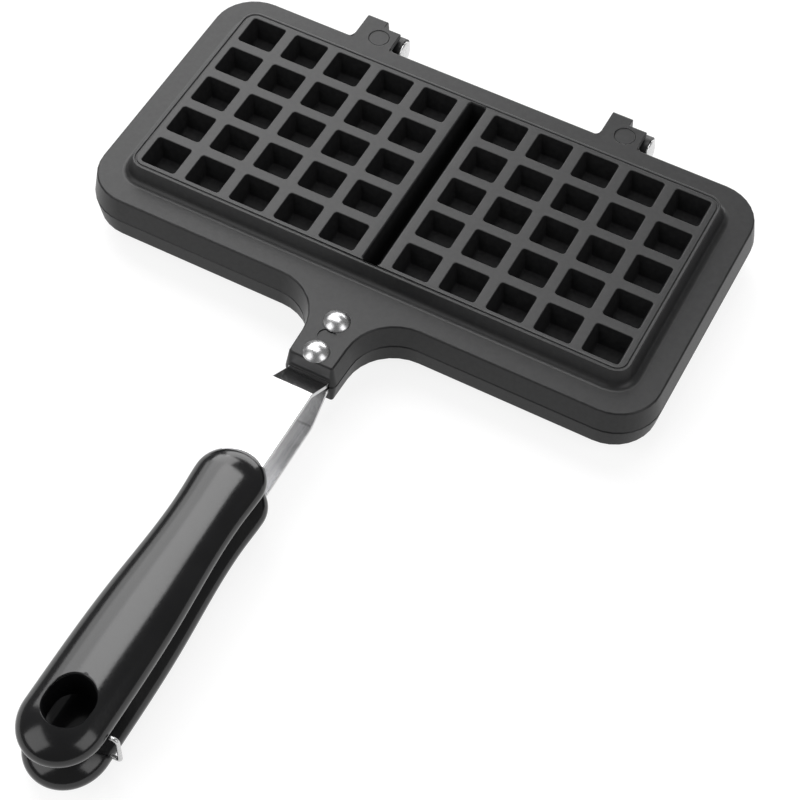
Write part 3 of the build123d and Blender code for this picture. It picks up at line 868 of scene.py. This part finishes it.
def white_floor():
    """Grey material that glows white to the camera and in reflections."""
    material = bpy.data.materials.new("white_floor")
    material.use_nodes = True
    tree = material.node_tree
    shader = tree.nodes["Principled BSDF"]
    shader.inputs["Base Color"].default_value = (0.22, 0.22, 0.22, 1)
    shader.inputs["Roughness"].default_value = 1.0
    shader.inputs["Specular IOR Level"].default_value = 0.0
    shader.inputs["Emission Color"].default_value = (1, 1, 1, 1)
    path = tree.nodes.new("ShaderNodeLightPath")
    seen = path.outputs["Is Camera Ray"]
    for ray in ("Is Glossy Ray", "Is Transmission Ray"):
        either = tree.nodes.new("ShaderNodeMath")
        either.operation = "MAXIMUM"
        tree.links.new(seen, either.inputs[0])
        tree.links.new(path.outputs[ray], either.inputs[1])
        seen = either.outputs[0]
    glow = tree.nodes.new("ShaderNodeMath")
    glow.operation = "MULTIPLY"
    glow.inputs[1].default_value = FLOOR_GLOW
    tree.links.new(seen, glow.inputs[0])
    tree.links.new(glow.outputs[0], shader.inputs["Emission Strength"])
    return material


def floor():
    """White floor that keeps the pan's shadow."""
    mesh = bpy.data.meshes.new("floor")
    signs = ((-1, -1), (1, -1), (1, 1), (-1, 1))
    corners = [(x*FLOOR_HALF, y*FLOOR_HALF, FLOOR_Z) for x, y in signs]
    mesh.from_pydata(corners, [], [[0, 1, 2, 3]])
    mesh.materials.append(white_floor())
    link(bpy.data.objects.new("floor", mesh))


def softbox(name, towards, along, across_reach, along_reach, brightness):
    """Rectangular lamp in a direction from the pan, as bright as given where it is seen.

    Its two reaches are in metres from the point in that direction at the lamps' distance.
    """
    light = bpy.data.lights.new(name, "AREA")
    light.shape = "RECTANGLE"
    light.size = across_reach[1] - across_reach[0]
    light.size_y = along_reach[1] - along_reach[0]
    light.energy = brightness*pi*light.size*light.size_y
    back = Vector(towards).normalized()
    across = Vector(along).cross(back).normalized()
    turn = Matrix((across, back.cross(across), back)).transposed()
    middle = Vector((sum(across_reach)/2, sum(along_reach)/2, LAMP_DISTANCE))
    lamp = link(bpy.data.objects.new(name, light))
    lamp.matrix_world = Matrix.Translation(LAMP_TARGET + turn @ middle) @ turn.to_4x4()


def lights():
    """Bright wall from the left horizon to overhead, and softboxes behind and in front."""
    world = bpy.data.worlds.new("studio")
    world.use_nodes = True
    sky = world.node_tree.nodes["Background"]
    sky.inputs["Color"].default_value = (1, 1, 1, 1)
    sky.inputs["Strength"].default_value = 0.2
    bpy.context.scene.world = world
    wall = ((-0.421, 0.492, 0.763), (0.876, 0, 0.483))
    up = (0, 0, 1)
    softbox("wall_low", *wall, (-0.15, 0.8), (-1.55, -0.9), 2.6)
    softbox("wall_middle", *wall, (-0.15, 0.8), (-0.9, -0.1), 4.0)
    softbox("wall_top", *wall, (-0.15, 0.8), (-0.1, 1.45), 5.6)
    softbox("wall_behind", *wall, (-0.95, -0.15), (-1.2, 0.2), 4.5)
    softbox("back", (-0.2, 0.95, 0.25), up, (-0.9, 0.9), (-0.4, 0.5), 3.5)
    softbox("front_left", (-0.5, -0.6, 0.62), up, (-0.75, 0.75), (-0.85, 0.85), 2.0)
    softbox("front_right", (0.78, -0.08, 0.56), up, (-0.6, 0.6), (-0.8, 0.8), 2.0)


def camera():
    """Camera of the photo."""
    data = bpy.data.cameras.new("photo_camera")
    data.lens = LENS_MM
    data.sensor_width = SENSOR_MM
    data.clip_start = 0.01
    view = link(bpy.data.objects.new("photo_camera", data))
    turn = Matrix.Rotation(radians(CAMERA_AZIMUTH), 4, "Z")
    tilt = Matrix.Rotation(radians(90 - CAMERA_ELEVATION), 4, "X")
    roll = Matrix.Rotation(radians(CAMERA_ROLL), 4, "Z")
    view.matrix_world = Matrix.Translation(CAMERA_PLACE) @ turn @ tilt @ roll
    bpy.context.scene.camera = view


plates()
straps()
grips()
rivets()
hinge_pins()
latch()
screws()
floor()
lights()
camera()
bpy.context.scene.view_settings.view_transform = "Standard"
